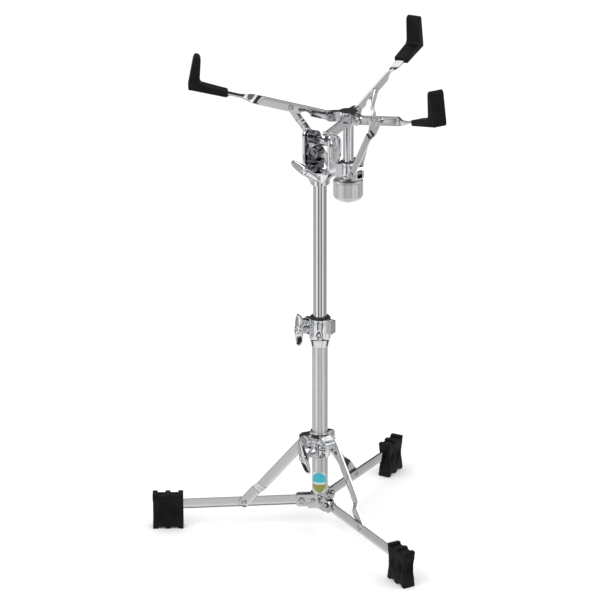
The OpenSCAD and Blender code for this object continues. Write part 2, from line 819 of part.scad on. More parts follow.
module arm_link(k) {
    color(satin) basket_frame() toward(arm_az(k)) mirror([0, 1, 0])
        translate([link_top_r, 0, link_top_z]) rotate([0, 180 - link_ang, 0]) {
            difference() {
                intersection() {
                    translate([0, 0, -link_w]) linear_extrude(height = 2 * link_w)
                        joggled(link_len, link_high_t, link_low_t, 22, 31, link_w);
                    slab(-1, 20) strip_outline(link_len, link_w, 3);
                }
                translate([link_len, 0, 0]) pin_y(rivet_r + pin_fit, 0, 20);
            }
            pin_y(4, link_high_t + strip_t, link_high_t + strip_t + 1.8);
        }
}

hub_casting();
hub_plate(1);  // hub_plate_1
hub_plate(2);  // hub_plate_2
hub_plate(3);  // hub_plate_3
plate_screws();
leg_bolts();
lower_tube();
tube_label();
clamp_body();
clamp_bushing();
clamp_bolt();
clamp_hinge_pin();
height_wing_nut();
brace_collar();
brace_pins();
collar_wing_screw();
leg_bar(1);  // leg_bar_1
leg_bar(2);  // leg_bar_2
leg_bar(3);  // leg_bar_3
leg_foot(1);  // leg_foot_1
leg_foot(2);  // leg_foot_2
leg_foot(3);  // leg_foot_3
leg_rivet(1);  // leg_rivet_1
leg_rivet(2);  // leg_rivet_2
leg_rivet(3);  // leg_rivet_3
brace(1);  // brace_1
brace(2);  // brace_2
brace(3);  // brace_3
upper_tube();
upper_tube_plug();
tilter_yoke();
tilter_axle();
tilter_cover();
tilter_shoe();
tilter_bolt();
tilter_wing_nut();
tilt_drum();
tilt_arm();
basket_post();
basket_hub();
hub_pins();
thread_rod();
slider_hub();
slider_pins();
basket_knob();
knob_nut();
basket_arm(1);  // basket_arm_1
basket_arm(2);  // basket_arm_2
basket_arm(3);  // basket_arm_3
arm_tip(1);  // arm_tip_1
arm_tip(2);  // arm_tip_2
arm_tip(3);  // arm_tip_3
arm_screw(1);  // arm_screw_1
arm_screw(2);  // arm_screw_2
arm_screw(3);  // arm_screw_3
arm_link(1);  // arm_link_1
arm_link(2);  // arm_link_2
arm_link(3);  // arm_link_3
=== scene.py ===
"""Looks of the flat-base snare drum stand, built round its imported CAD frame."""
import json
import math

import bmesh
import bpy
from mathutils import Matrix, Vector


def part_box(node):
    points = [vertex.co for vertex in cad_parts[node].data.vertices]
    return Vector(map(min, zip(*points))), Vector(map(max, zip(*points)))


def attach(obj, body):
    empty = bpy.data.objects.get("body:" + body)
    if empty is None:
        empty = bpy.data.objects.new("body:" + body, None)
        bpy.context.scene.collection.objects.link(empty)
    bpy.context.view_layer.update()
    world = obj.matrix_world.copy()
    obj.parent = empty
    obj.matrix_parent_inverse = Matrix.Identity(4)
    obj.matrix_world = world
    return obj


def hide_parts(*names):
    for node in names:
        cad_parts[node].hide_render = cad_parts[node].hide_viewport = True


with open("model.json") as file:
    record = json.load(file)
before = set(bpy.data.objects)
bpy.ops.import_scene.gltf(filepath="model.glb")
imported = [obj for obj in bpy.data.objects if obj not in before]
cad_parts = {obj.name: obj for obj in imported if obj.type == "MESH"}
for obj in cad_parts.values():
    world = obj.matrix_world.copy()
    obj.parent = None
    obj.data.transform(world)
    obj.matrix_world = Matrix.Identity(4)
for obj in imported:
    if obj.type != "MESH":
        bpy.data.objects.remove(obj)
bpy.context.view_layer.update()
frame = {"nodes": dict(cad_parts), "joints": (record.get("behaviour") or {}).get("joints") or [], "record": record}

MM = 0.001
TRIO = (1, 2, 3)

# Sizes in millimetres, as in the CAD source
LEG_SLOPE = 1.9
LEG_H, LEG_T = 14, 3
RIVET_REACH = 81
BRACE_W = 15
STRIP_T = 2.5
EAR_GAP, PLATE_T = 3.5, 2
PLATE_SCREW_R = 10
PIN_R = 2.5
BOLT_R = 3
PLANE_GAP = 0.3
COLLAR_EAR = 8
FOOT_LEN, FOOT_W, FOOT_H, FOOT_IN = 43, 18.5, 52, 192.5
ARM_SLOPE = 14
ARM_H, ARM_T, LINK_REACH = 13, 3, 55.6
ARM_FLAT_W = 12
TIP_START = 144.3
SLIDER_HALF = 7
LINK_W = 11
EAR_OUT = 4.8
YOKE_GAP, YOKE_OUT, YOKE_W = 17.5, 21.5, 22
YOKE_IN_Z, YOKE_OUT_Z, YOKE_LOW = 545, 532, 510
WING_SPAN, WING_T, WING_HUB_R = 48, 8, 5.8
CLAMP_EAR, CLAMP_WING_Y = 8, 16.5
CLAMP_EAR_R, CLAMP_BOLT_Z = 21, 298
TIP_HALF_W = 10
PAD_W, PAD_RELIEF = 7, 2.5
LEG_IN_FOOT = 7
CLAMP_PIN_R, CLAMP_PIN_Z, CLAMP_PIN_LEN = 18.6, 294, 20
COLLAR_STEM_IN, COLLAR_STEM_LEN, COLLAR_WING_IN = 11.5, 30.5, 35
TILTER_BOLT_X, TILTER_BOLT_Z, TILTER_WING_Y = -8, 533.5, -22
TILTER_BOLT_END, TILTER_BOLT_HEAD = -27, 11
COVER_R, COVER_SHIFT, COVER_Y, COVER_Z = 14.5, 5.5, 3, 560.5
DRUM_LOW, DRUM_HIGH, DRUM_R = -16.5, -3, 9.2
# The grip above the arm, as (radius, height) from its outer elbow round to its inner elbow
GRIP_RISE = [
    (218.5, 627.5), (219, 632), (211.3, 671), (208.5, 675), (203.5, 673.5), (201, 670), (203, 639),
    (200.5, 634.5),
]
# Azimuths of the height clamp's bolt and of its hinge pin
CLAMP_AZ, CLAMP_PIN_AZ = math.radians(145), math.radians(-35)
# How far the wings are turned on their bolts
TILTER_WING_TURN, COLLAR_WING_TURN = math.radians(25), math.radians(20)
# A radius this small closes a turned shape on its axis
TINY = 0.01

JOINTS = {j["name"]: j for j in frame["joints"]}


# ---------- local axes, all in millimetres ----------
def basis(origin, x, y, z):
    m = Matrix((x, y, z)).transposed().to_4x4()
    m.translation = Vector(origin)
    return m


def joint_at(name):
    return Vector(JOINTS[name]["pos_m"]) / MM


def radial(origin, azimuth):
    """Local x points outwards at that azimuth, y to the left of someone looking outwards, z up."""
    c, s = math.cos(azimuth), math.sin(azimuth)
    return basis(origin, (c, s, 0), (-s, c, 0), (0, 0, 1))


def sloped(m, degrees):
    """Turns a radial frame about its y so that x points downwards by that angle."""
    return m @ Matrix.Rotation(math.radians(degrees), 4, "Y")


def hinge_azimuth(name):
    axis = JOINTS[name]["axis"]
    return math.atan2(axis[0], -axis[1])


COLUMN = radial((0, 0, 0), 0)
TILT = joint_at("basket_tilt")
tilt_axis = Vector(JOINTS["basket_tilt"]["axis"])
TILTER_AZ = math.atan2(tilt_axis.x, -tilt_axis.y)
# Tilter frame: x along the axle to the right, y towards the basket, origin at the axle
TILTER = radial(TILT, TILTER_AZ - math.pi / 2)
KNOB = joint_at("knob_turn")
BASKET = radial((KNOB.x, KNOB.y, 0), 0)
LEG_AZ = {k: hinge_azimuth(f"leg_{k}_fold") for k in TRIO}
ARM_AZ = {k: hinge_azimuth(f"arm_{k}_close") for k in TRIO}
LEG = {k: sloped(radial(joint_at(f"leg_{k}_fold"), LEG_AZ[k]), LEG_SLOPE) for k in TRIO}
LEG_FLAT = {k: radial((0, 0, 0), LEG_AZ[k]) for k in TRIO}
ARM = {k: sloped(radial(joint_at(f"arm_{k}_close"), ARM_AZ[k]), -ARM_SLOPE) for k in TRIO}
ARM_FLAT = {k: radial((KNOB.x, KNOB.y, 0), ARM_AZ[k]) for k in TRIO}


def in_basket(name):
    """Place of a joint, from the foot of the basket's own axis."""
    return joint_at(name) - Vector((KNOB.x, KNOB.y, 0))


def on_arm(x, z):
    """Radius and height of a point given on an arm's own axes."""
    hinge = in_basket("arm_1_close")
    slope = math.radians(ARM_SLOPE)
    return (hinge.xy.length + x * math.cos(slope) - z * math.sin(slope),
            hinge.z + x * math.sin(slope) + z * math.cos(slope))


def side_axis(m, origin, towards=1):
    """Frame at a local point of m whose z runs along m's y, or against it."""
    turn = Matrix.Rotation(-towards * math.pi / 2, 4, "X")
    return m @ Matrix.Translation(origin) @ turn


def along_x(m, origin, towards=1):
    """Frame at a local point of m whose z runs along m's x, or against it."""
    turn = Matrix.Rotation(towards * math.pi / 2, 4, "Y")
    return m @ Matrix.Translation(origin) @ turn


# ---------- materials ----------
def shader(name, metallic, colour, roughness):
    mat = bpy.data.materials.new(name)
    mat.use_nodes = True
    bsdf = mat.node_tree.nodes["Principled BSDF"]
    bsdf.inputs["Base Color"].default_value = (*colour, 1)
    bsdf.inputs["Metallic"].default_value = metallic
    bsdf.inputs["Roughness"].default_value = roughness
    return mat, mat.node_tree, bsdf


def noise(tree, scale, detail=3.0, stretch=(1, 1, 1)):
    """Noise in the piece's own coordinates, in cells per metre."""
    coord = tree.nodes.new("ShaderNodeTexCoord")
    place = tree.nodes.new("ShaderNodeMapping")
    tex = tree.nodes.new("ShaderNodeTexNoise")
    place.inputs["Scale"].default_value = stretch
    tex.inputs["Scale"].default_value = scale
    tex.inputs["Detail"].default_value = detail
    tree.links.new(coord.outputs["Object"], place.inputs["Vector"])
    tree.links.new(place.outputs["Vector"], tex.inputs["Vector"])
    return tex.outputs["Fac"]


def ramp(tree, fac, stops, constant=False):
    node = tree.nodes.new("ShaderNodeValToRGB")
    if constant:
        node.color_ramp.interpolation = "CONSTANT"
    elements = node.color_ramp.elements
    while len(elements) < len(stops):
        elements.new(0.5)
    for element, (place, colour) in zip(elements, stops):
        element.position = place
        element.color = (*colour, 1) if hasattr(colour, "__len__") else (colour, colour, colour, 1)
    tree.links.new(fac, node.inputs["Fac"])
    return node.outputs["Color"]


def bump(tree, bsdf, height, strength, distance, chain=None):
    node = tree.nodes.new("ShaderNodeBump")
    node.inputs["Strength"].default_value = strength
    node.inputs["Distance"].default_value = distance
    tree.links.new(height, node.inputs["Height"])
    if chain:
        tree.links.new(chain, node.inputs["Normal"])
    tree.links.new(node.outputs["Normal"], bsdf.inputs["Normal"])
    return node.outputs["Normal"]


def metal(name, colour, rough, extra, grain=(1, 1, 1), grain_scale=900, grain_depth=0.00002,
          ripple=0.00006):
    """Plated or machined metal: smudged roughness, faint tint, fine grain and a slow ripple."""
    mat, tree, bsdf = shader(name, 1.0, colour, rough)
    smudge = ramp(tree, noise(tree, 38, 5), [(0.3, rough), (0.7, rough + extra)])
    tree.links.new(smudge, bsdf.inputs["Roughness"])
    low = [c * 0.93 for c in colour]
    tint = ramp(tree, noise(tree, 16, 4), [(0.35, low), (0.65, colour)])
    tree.links.new(tint, bsdf.inputs["Base Color"])
    slow = bump(tree, bsdf, noise(tree, 30, 1), 0.25, ripple)
    bump(tree, bsdf, noise(tree, grain_scale, 2, grain), 0.3, grain_depth, slow)
    return mat


def rubber_material():
    mat, tree, bsdf = shader("rubber", 0.0, (0.005, 0.005, 0.0055), 0.55)
    bsdf.inputs["Specular IOR Level"].default_value = 0.18
    dark, light = (0.003, 0.003, 0.0035), (0.007, 0.007, 0.008)
    tone = ramp(tree, noise(tree, 60, 5), [(0.3, dark), (0.7, light)])
    tree.links.new(tone, bsdf.inputs["Base Color"])
    rough = ramp(tree, noise(tree, 90, 4), [(0.3, 0.44), (0.75, 0.66)])
    tree.links.new(rough, bsdf.inputs["Roughness"])
    coarse = bump(tree, bsdf, noise(tree, 420, 4), 0.35, 0.0003)
    bump(tree, bsdf, noise(tree, 2600, 2), 0.4, 0.00012, coarse)
    return mat


def plastic_material():
    mat, tree, bsdf = shader("black_plastic", 0.0, (0.012, 0.012, 0.013), 0.4)
    rough = ramp(tree, noise(tree, 120, 4), [(0.3, 0.32), (0.7, 0.5)])
    tree.links.new(rough, bsdf.inputs["Roughness"])
    bump(tree, bsdf, noise(tree, 1800, 2), 0.3, 0.00006)
    return mat


def label_material():
    """Printed film: a plain oval on a pale ground, teal over a pale stripe over olive."""
    mat, tree, bsdf = shader("label", 0.0, (0.1, 0.45, 0.5), 0.28)
    low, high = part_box("tube_label")
    middle, half = (low + high) / 2, (high - low) / 2
    coord = tree.nodes.new("ShaderNodeTexCoord")
    centre = tree.nodes.new("ShaderNodeMapping")
    centre.vector_type = "TEXTURE"
    centre.inputs["Location"].default_value = middle
    centre.inputs["Scale"].default_value = (1.2 * half.x, 1, 1.02 * half.z)
    tree.links.new(coord.outputs["Object"], centre.inputs["Vector"])
    split = tree.nodes.new("ShaderNodeSeparateXYZ")
    tree.links.new(centre.outputs["Vector"], split.inputs["Vector"])
    scale = tree.nodes.new("ShaderNodeMapRange")
    scale.inputs["From Min"].default_value = -1
    tree.links.new(split.outputs["Z"], scale.inputs["Value"])
    pale, teal, olive = (0.60, 0.62, 0.58), (0.04, 0.40, 0.52), (0.25, 0.25, 0.05)
    stripes = [(0.0, olive), (0.40, pale), (0.50, teal)]
    bands = ramp(tree, scale.outputs["Result"], stripes, constant=True)
    oval = tree.nodes.new("ShaderNodeTexGradient")
    oval.gradient_type = "SPHERICAL"
    tree.links.new(centre.outputs["Vector"], oval.inputs["Vector"])
    inside = ramp(tree, oval.outputs["Fac"], [(0.0, 0), (0.03, 1)], constant=True)
    print_mix = tree.nodes.new("ShaderNodeMix")
    print_mix.data_type = "RGBA"
    print_mix.inputs["A"].default_value = (*pale, 1)
    tree.links.new(inside, print_mix.inputs["Factor"])
    tree.links.new(bands, print_mix.inputs["B"])
    tree.links.new(print_mix.outputs["Result"], bsdf.inputs["Base Color"])
    rough = ramp(tree, noise(tree, 200, 3), [(0.3, 0.22), (0.7, 0.36)])
    tree.links.new(rough, bsdf.inputs["Roughness"])
    bump(tree, bsdf, noise(tree, 900, 2), 0.15, 0.00003)
    return mat


TURNED = {"grain": (1, 1, 0.2), "grain_scale": 700, "grain_depth": 0.000006, "ripple": 0.00002}
MATERIALS = {
    "polished_chrome": metal("polished_chrome", (0.84, 0.85, 0.87), 0.03, 0.04),
    "strip_chrome": metal("strip_chrome", (0.80, 0.80, 0.79), 0.06, 0.07, ripple=0.00022),
    "knob_satin": metal("knob_satin", (0.95, 0.95, 0.95), 0.34, 0.06, **TURNED),
    "satin_chrome": metal("satin_chrome", (0.93, 0.93, 0.93), 0.30, 0.05, **TURNED),
    "screw_chrome": metal("screw_chrome", (0.66, 0.67, 0.69), 0.08, 0.08),
    # The tilter's dark colour is painted reflection: its chrome is darkened to stand in for the black surroundings
    # that it mirrors.
    "tilter_chrome": metal("tilter_chrome", (0.20, 0.205, 0.22), 0.07, 0.06),
    "threaded_steel": metal("threaded_steel", (0.52, 0.52, 0.53), 0.26, 0.10, (0.1, 0.1, 1), 1600),
    "brass": metal("brass", (0.70, 0.56, 0.28), 0.20, 0.12),
    "rubber": rubber_material(),
    "black_plastic": plastic_material(),
    "label": label_material(),
}
BODY_OF = {n: b for b, names in frame["record"]["behaviour"]["bodies"].items() for n in names}
SLOT_OF = {s["node"]: s["material_slot"] for s in frame["record"]["subparts"]}


# ---------- mesh building ----------
# Faces that meet at more than this many degrees stay sharp
SHARP = 32


def add_bevel(obj, width):
    mod = obj.modifiers.new("edges", "BEVEL")
    mod.width = width * MM
    mod.segments = 3
    mod.limit_method = "ANGLE"
    mod.angle_limit = math.radians(SHARP)
    mod.harden_normals = True


def make(name, node, parts, angle=SHARP):
    """One piece from (verts, faces) parts in millimetres, in its node's place, body and slot."""
    verts, faces = [], []
    for part_verts, part_faces in parts:
        base = len(verts)
        verts += [v * MM for v in part_verts]
        faces += [tuple(i + base for i in f) for f in part_faces]
    mesh = bpy.data.meshes.new(name)
    mesh.from_pydata(verts, [], faces)
    bm = bmesh.new()
    bm.from_mesh(mesh)
    bmesh.ops.recalc_face_normals(bm, faces=bm.faces)
    bm.to_mesh(mesh)
    bm.free()
    mesh.shade_smooth()
    mesh.set_sharp_from_angle(angle=math.radians(angle))
    obj = bpy.data.objects.new(name, mesh)
    bpy.context.scene.collection.objects.link(obj)
    obj.data.materials.append(MATERIALS[SLOT_OF[node]])
    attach(obj, BODY_OF[node])
    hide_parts(node)
    return obj


def loft(sections, closed=False, caps=True):
    """Skin over rings of equally many points. closed joins the last ring to the first."""
    n = len(sections[0])
    verts = [v for ring in sections for v in ring]
    faces = []
    rings = len(sections)
    for i in range(rings if closed else rings - 1):
        a, b = i * n, ((i + 1) % rings) * n
        faces += [(a + j, a + (j + 1) % n, b + (j + 1) % n, b + j) for j in range(n)]
    if caps and not closed:
        faces += [tuple(range(n)), tuple(range(len(verts) - n, len(verts)))]
    return verts, faces


def lathe(m, profile, segments=72, shape=None):
    """Turns (radius, height) points about the z of m.

    shape(angle, radius, height) may change the radius.
    """
    rings = []
    for r, h in profile:
        ring = []
        for i in range(segments):
            a = 2 * math.pi * i / segments
            rr = shape(a, r, h) if shape else r
            ring.append(m @ Vector((rr * math.cos(a), rr * math.sin(a), h)))
        rings.append(ring)
    return loft(rings, caps=profile[0] != profile[-1])


def rounded(points, radius, steps=4):
    """A closed outline with each corner rounded."""
    out = []
    n = len(points)
    for i in range(n):
        p = Vector(points[i])
        a = Vector(points[i - 1]) - p
        b = Vector(points[(i + 1) % n]) - p
        cut = min(radius, a.length * 0.45, b.length * 0.45)
        start, end = p + a.normalized() * cut, p + b.normalized() * cut
        for s in range(steps + 1):
            t = s / steps
            out.append(start * (1 - t) ** 2 + p * 2 * t * (1 - t) + end * t * t)
    return out


def slab(m, outline, y0, y1, edge=0.6):
    """An (x, z) outline of m as a plate between two y values, with its edges rounded over."""
    centre = sum((Vector(p) for p in outline), Vector((0, 0))) / len(outline)
    rings = []
    steps = 4
    for side, face in ((1, y0), (-1, y1)):
        part = []
        for s in range(steps + 1):
            a = math.pi / 2 * s / steps
            inset, depth = edge * (1 - math.sin(a)), edge * (1 - math.cos(a))
            ring = []
            for p in outline:
                p = Vector(p)
                out = p - centre
                q = p - out.normalized() * min(inset, out.length)
                ring.append(m @ Vector((q.x, face + side * depth, q.y)))
            part.append(ring)
        rings += part if side == 1 else part[::-1]
    return loft(rings)


def strip(m, stations):
    """A flat bar along x of m.

    A station is (x, offset, low, high, half thickness, twist in degrees).
    """
    rings = []
    for x, offset, low, high, half, twist in stations:
        edge = min(0.45, half * 0.5, max(0.01, (high - low) * 0.2))
        corners = [(-half, low), (half, low), (half, high), (-half, high)]
        turn = math.radians(twist)
        ring = []
        for p in rounded(corners, edge, 3):
            y = p.x * math.cos(turn) - p.y * math.sin(turn)
            z = p.x * math.sin(turn) + p.y * math.cos(turn)
            ring.append(m @ Vector((x, offset + y, z)))
        rings.append(ring)
    return loft(rings)


def smooth(x, a, b):
    t = min(1, max(0, (x - a) / (b - a)))
    return t * t * (3 - 2 * t)


def spread(a, b, count):
    return [a + (b - a) * i / count for i in range(count + 1)]


def dome(r, h):
    """Profile of a domed head of radius r and height h, from its rim to its crown."""
    rim = 0.35
    arc = [(r * math.cos(a), h * (rim + (1 - rim) * math.sin(a)))
           for a in spread(0, math.pi / 2 - 0.03, 8)]
    return [(TINY, 0), (r, 0)] + arc + [(TINY, h)]


def socket(r, h, hole):
    """Profile of a rounded head with a sunken drive recess."""
    return [(TINY, 0), (r, 0), (r, h * 0.55), (r * 0.93, h * 0.82), (r * 0.75, h), (hole, h),
            (hole * 0.9, h * 0.5), (TINY, h * 0.45)]


def cross_slot(a, r, h, hole, depth_at):
    """Radius of a cross-shaped recess, for a lathe's shape."""
    if r > hole * 1.02 or h < depth_at:
        return r
    return r * (0.62 + 0.38 * abs(math.cos(2 * a)) ** 0.6)


def screw_head(m, r, h):
    hole = r * 0.55
    return lathe(m, socket(r, h, hole), 48, lambda a, rr, hh: cross_slot(a, rr, hh, hole, h * 0.4))


def hex_head(m, r, h):
    """Hexagonal bolt head with a chamfered crown."""
    def shape(a, rr, hh):
        flat = math.cos(math.pi / 6) / math.cos((a % (math.pi / 3)) - math.pi / 6)
        return rr * flat if hh < h * 0.8 else rr * (0.86 + 0.1 * flat)

    profile = [(TINY, 0), (r, 0), (r, h * 0.78), (r * 0.92, h * 0.95), (r * 0.7, h), (TINY, h)]
    return lathe(m, profile, 48, shape)


def shaft(m, r, length):
    edge = min(0.4, r * 0.2)
    profile = [(TINY, 0), (r - edge, 0), (r, edge), (r, length - edge), (r - edge, length),
               (TINY, length)]
    return lathe(m, profile, 32)


# ---------- tubes ----------
def tube(node, outer, inner):
    low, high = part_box(node)
    z0, z1 = low.z / MM, high.z / MM
    edge = 0.4
    profile = [
        (inner, z0), (outer - edge, z0), (outer, z0 + edge), (outer, z1 - edge),
        (outer - edge, z1), (inner, z1), (inner, z0),
    ]
    make(f"{node}_drawn", node, [lathe(COLUMN, profile, 128)])


def column_tubes():
    low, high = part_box("lower_tube")
    lower_r = (high.x - low.x) / 2 / MM
    low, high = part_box("upper_tube")
    upper_r = (high.x - low.x) / 2 / MM
    slide_gap, wall = 0.075, 1.5
    tube("lower_tube", lower_r, upper_r + slide_gap)
    tube("upper_tube", upper_r, upper_r - wall)


# ---------- wings ----------
def wing(m, bore, neck):
    """Two-lobed wing about the z of m, with a turned hub that reaches back by neck."""
    half = WING_SPAN / 2
    rings = []
    for t in spread(-1, 1, 40):
        x = half * math.sin(t * math.pi / 2)
        swell = math.cos(x / half * math.pi / 2) ** 2
        end = math.sqrt(max(0.0004, 1 - abs(x / half) ** 7))
        wide = (5.2 + 1.5 * swell) * end
        thick = (1.6 + 2.2 * swell) * end
        ring = []
        for i in range(24):
            a = 2 * math.pi * i / 24
            ca, sa = math.cos(a), math.sin(a)
            y = wide * math.copysign(abs(ca) ** 0.8, ca)
            z = WING_T / 2 + thick * math.copysign(abs(sa) ** 0.7, sa)
            ring.append(m @ Vector((x, y, z)))
        rings.append(ring)
    hub = WING_HUB_R
    profile = [
        (bore, -neck), (hub - 1.2, -neck), (hub - 0.4, 0.4 - neck), (hub, 1.4 - neck),
        (hub, WING_T - 0.4), (hub - 0.5, WING_T + 0.5), (hub - 1.6, WING_T + 1),
        (bore + 0.6, WING_T + 1), (bore, WING_T + 0.5), (bore, -neck),
    ]
    return [loft(rings), lathe(m, profile, 48)]


# ---------- base ----------
def legs():
    half_h, half_t = LEG_H / 2, LEG_T / 2
    end = FOOT_IN + LEG_IN_FOOT
    bush, bore, rim = EAR_GAP - 0.2 - half_t, BOLT_R + 0.1, 5.5
    bush_profile = [(bore, 0), (rim, 0), (rim, bush - 0.2), (rim - 0.3, bush), (bore, bush),
                    (bore, 0)]
    for k in TRIO:
        m = LEG[k]
        xs = [half_h * -math.cos(a) for a in spread(0.04, math.pi / 2, 10)] + spread(2, end, 12)
        stations = []
        for x in xs:
            h = math.sqrt(max(0.02, half_h ** 2 - min(0, x) ** 2))
            stations.append((x, 0, -h, h, half_t, 0))
        parts = [strip(m, stations)]
        for side in (1, -1):
            parts.append(lathe(side_axis(m, (0, side * half_t, 0), side), bush_profile, 40))
        make(f"leg_bar_{k}_pressed", f"leg_bar_{k}", parts)
        rivet = [
            shaft(side_axis(m, (RIVET_REACH, -half_t, 0)), PIN_R, LEG_T),
            lathe(side_axis(m, (RIVET_REACH, -half_t, 0), -1), dome(4.2, 1.8), 40),
        ]
        make(f"leg_rivet_{k}_domed", f"leg_rivet_{k}", rivet)


def strip_half(s, length, w, corner):
    """Half width of a strip with a round lower end and a squarer upper end."""
    half = w / 2
    if s < 0:
        return math.sqrt(max(0.02, half ** 2 - s ** 2))
    past = s - (length + half - corner)
    if past > 0:
        return half - corner + math.sqrt(max(0.02, corner ** 2 - min(past, corner) ** 2))
    return half


def joggled(name, node, m, length, w, corner, low_y, high_y, s0, s1, rivet_r, rivet_h, side):
    """Pressed strip with a joggle from s0 to s1, and the formed head at its lower hinge."""
    half = w / 2
    square = length + half - corner
    ends = [-half * math.cos(a) for a in spread(0.05, math.pi / 2, 9)]
    mids = spread(2, s0 - 2, 4) + spread(s0 - 1, s1 + 1, 12) + spread(s1 + 3, square - 0.2, 12)
    tops = [square + corner * math.sin(a) for a in spread(0.05, math.pi / 2 - 0.04, 9)]
    stations = []
    for s in ends + mids + tops:
        y = side * (low_y + (high_y - low_y) * smooth(s, s0 - 1, s1 + 1) + STRIP_T / 2)
        h = strip_half(s, length, w, corner)
        stations.append((s, y, -h, h, STRIP_T / 2, 0))
    face = side * (low_y + STRIP_T)
    head = lathe(side_axis(m, (0, face, 0), side), dome(rivet_r, rivet_h), 40)
    parts = [strip(m, stations), head]
    make(name, node, parts)


def braces():
    hinge, top = joint_at("leg_1_fold"), joint_at("brace_1_swing")
    slope = math.radians(LEG_SLOPE)
    rivet = (hinge.xy.length + RIVET_REACH * math.cos(slope),
             hinge.z - RIVET_REACH * math.sin(slope))
    dx, dz = rivet[0] - top.xy.length, top.z - rivet[1]
    length, lean = math.hypot(dx, dz), math.degrees(math.atan2(dz, dx))
    for k in TRIO:
        m = radial((0, 0, 0), LEG_AZ[k]) @ Matrix.Translation((rivet[0], 0, rivet[1]))
        m = sloped(m, lean - 180)
        joggled(f"brace_{k}_pressed", f"brace_{k}", m, length, BRACE_W, 6, LEG_T / 2 + PLANE_GAP,
                COLLAR_EAR + PLANE_GAP, 26, 38, 4.2, 2, 1)


def links():
    upper = on_arm(LINK_REACH, 0)
    foot = in_basket("link_1_swing")
    dx, dz = upper[0] - foot.xy.length, upper[1] - foot.z
    length, lean = math.hypot(dx, dz), math.degrees(math.atan2(dz, dx))
    for k in TRIO:
        m = ARM_FLAT[k] @ Matrix.Translation((upper[0], 0, upper[1]))
        m = sloped(m, 180 - lean)
        joggled(f"arm_link_{k}_pressed", f"arm_link_{k}", m, length, LINK_W, 3,
                ARM_T / 2 + PLANE_GAP, SLIDER_HALF + PLANE_GAP, 22, 31, 4, 1.8, -1)


def hub_fasteners():
    out = EAR_GAP + PLATE_T
    screws, bolts, pins = [], [], []
    hinge, top = joint_at("leg_1_fold"), joint_at("brace_1_swing")
    bolt_x, pin_x = hinge.xy.length, top.xy.length
    pin_top = COLLAR_EAR + 2 * PLANE_GAP + STRIP_T
    for k in TRIO:
        m = LEG_FLAT[k]
        screws.append(shaft(side_axis(m, (PLATE_SCREW_R, -out, hinge.z)), PIN_R, 2 * out))
        bolts.append(shaft(side_axis(m, (bolt_x, -out, hinge.z)), BOLT_R, 2 * out))
        for side in (1, -1):
            face = side * out
            screws.append(screw_head(side_axis(m, (PLATE_SCREW_R, face, hinge.z), side), 3.6, 2))
            bolts.append(hex_head(side_axis(m, (bolt_x, face, hinge.z), side), 4.6, 3))
        start = side_axis(m, (pin_x, -COLLAR_EAR, top.z))
        pins.append(shaft(start, PIN_R, COLLAR_EAR + pin_top))
        pins.append(lathe(side_axis(m, (pin_x, pin_top, top.z)), dome(4, 1.8), 40))
        pins.append(lathe(side_axis(m, (pin_x, -COLLAR_EAR, top.z), -1), dome(4, 1.8), 40))
    make("plate_screws_turned", "plate_screws", screws)
    make("leg_bolts_turned", "leg_bolts", bolts)
    make("brace_pins_turned", "brace_pins", pins)


def foot_half(z):
    """How far a foot's ends pull in at a height."""
    reach, depth = 17, 2
    away = abs(z - FOOT_H / 2)
    return depth * math.cos(min(1, away / reach) * math.pi / 2) ** 1.3


def feet():
    half_w = FOOT_W / 2 - 0.5
    body_low, body_high = PAD_RELIEF, FOOT_H - PAD_RELIEF
    edge = 1.0
    rib_low, rib_high, rib_out = 8, FOOT_H - 8, FOOT_LEN - 0.4
    rib_in, rib_half, post_in, post_w = FOOT_LEN - 3, 1.2, 3.6, 3
    rib = [(rib_in, rib_low), (rib_out, rib_low), (rib_out, rib_high), (rib_in, rib_high)]
    post = [(0, rib_low), (post_w, rib_low), (post_w, rib_high), (0, rib_high)]
    for k in TRIO:
        m = LEG_FLAT[k] @ Matrix.Translation((FOOT_IN, 0, 0))
        rings = []
        for z in spread(body_low, body_high, 34):
            near = min(z - body_low, body_high - z)
            inset = edge - math.sqrt(max(0, edge ** 2 - (edge - min(near, edge)) ** 2))
            pull = foot_half(z) + inset
            flare = 0.5 * foot_half(z) + inset
            x0, x1, w = pull, FOOT_LEN - pull, half_w - flare
            corners = [(x0, -w), (x1, -w), (x1, w), (x0, w)]
            rings.append([m @ Vector((p.x, p.y, z)) for p in rounded(corners, 2.4, 5)])
        parts = [loft(rings)]
        for x in (0, (FOOT_LEN - PAD_W) / 2, FOOT_LEN - PAD_W):
            for z0, z1 in ((0, 2 * PAD_RELIEF), (FOOT_H - 2 * PAD_RELIEF, FOOT_H)):
                base = [(x, z0), (x + PAD_W, z0), (x + PAD_W, z1), (x, z1)]
                parts.append(slab(m, rounded(base, 0.9, 3), -half_w, half_w, 0.7))
        for side in (1, -1):
            face = side * (half_w - 1.0)
            ring = side_axis(m, (FOOT_LEN / 2, face, FOOT_H / 2), side)
            for r in (12.6, 8.6):
                parts.append(lathe(ring, [
                    (r - 0.8, -1), (r - 0.7, 0.6), (r - 0.3, 1.0), (r + 0.3, 1.0), (r + 0.7, 0.6),
                    (r + 0.8, -1), (r - 0.8, -1),
                ], 64))
            parts.append(lathe(ring, dome(3, 0.9), 32))
        for y in (-5, 0, 5):
            parts.append(slab(m, rounded(rib, 0.5, 3), y - rib_half, y + rib_half, 0.4))
        for y in (post_in, -post_in - post_w):
            parts.append(slab(m, rounded(post, 0.6, 3), y, y + post_w, 0.5))
        make(f"leg_foot_{k}_moulded", f"leg_foot_{k}", parts, angle=50)


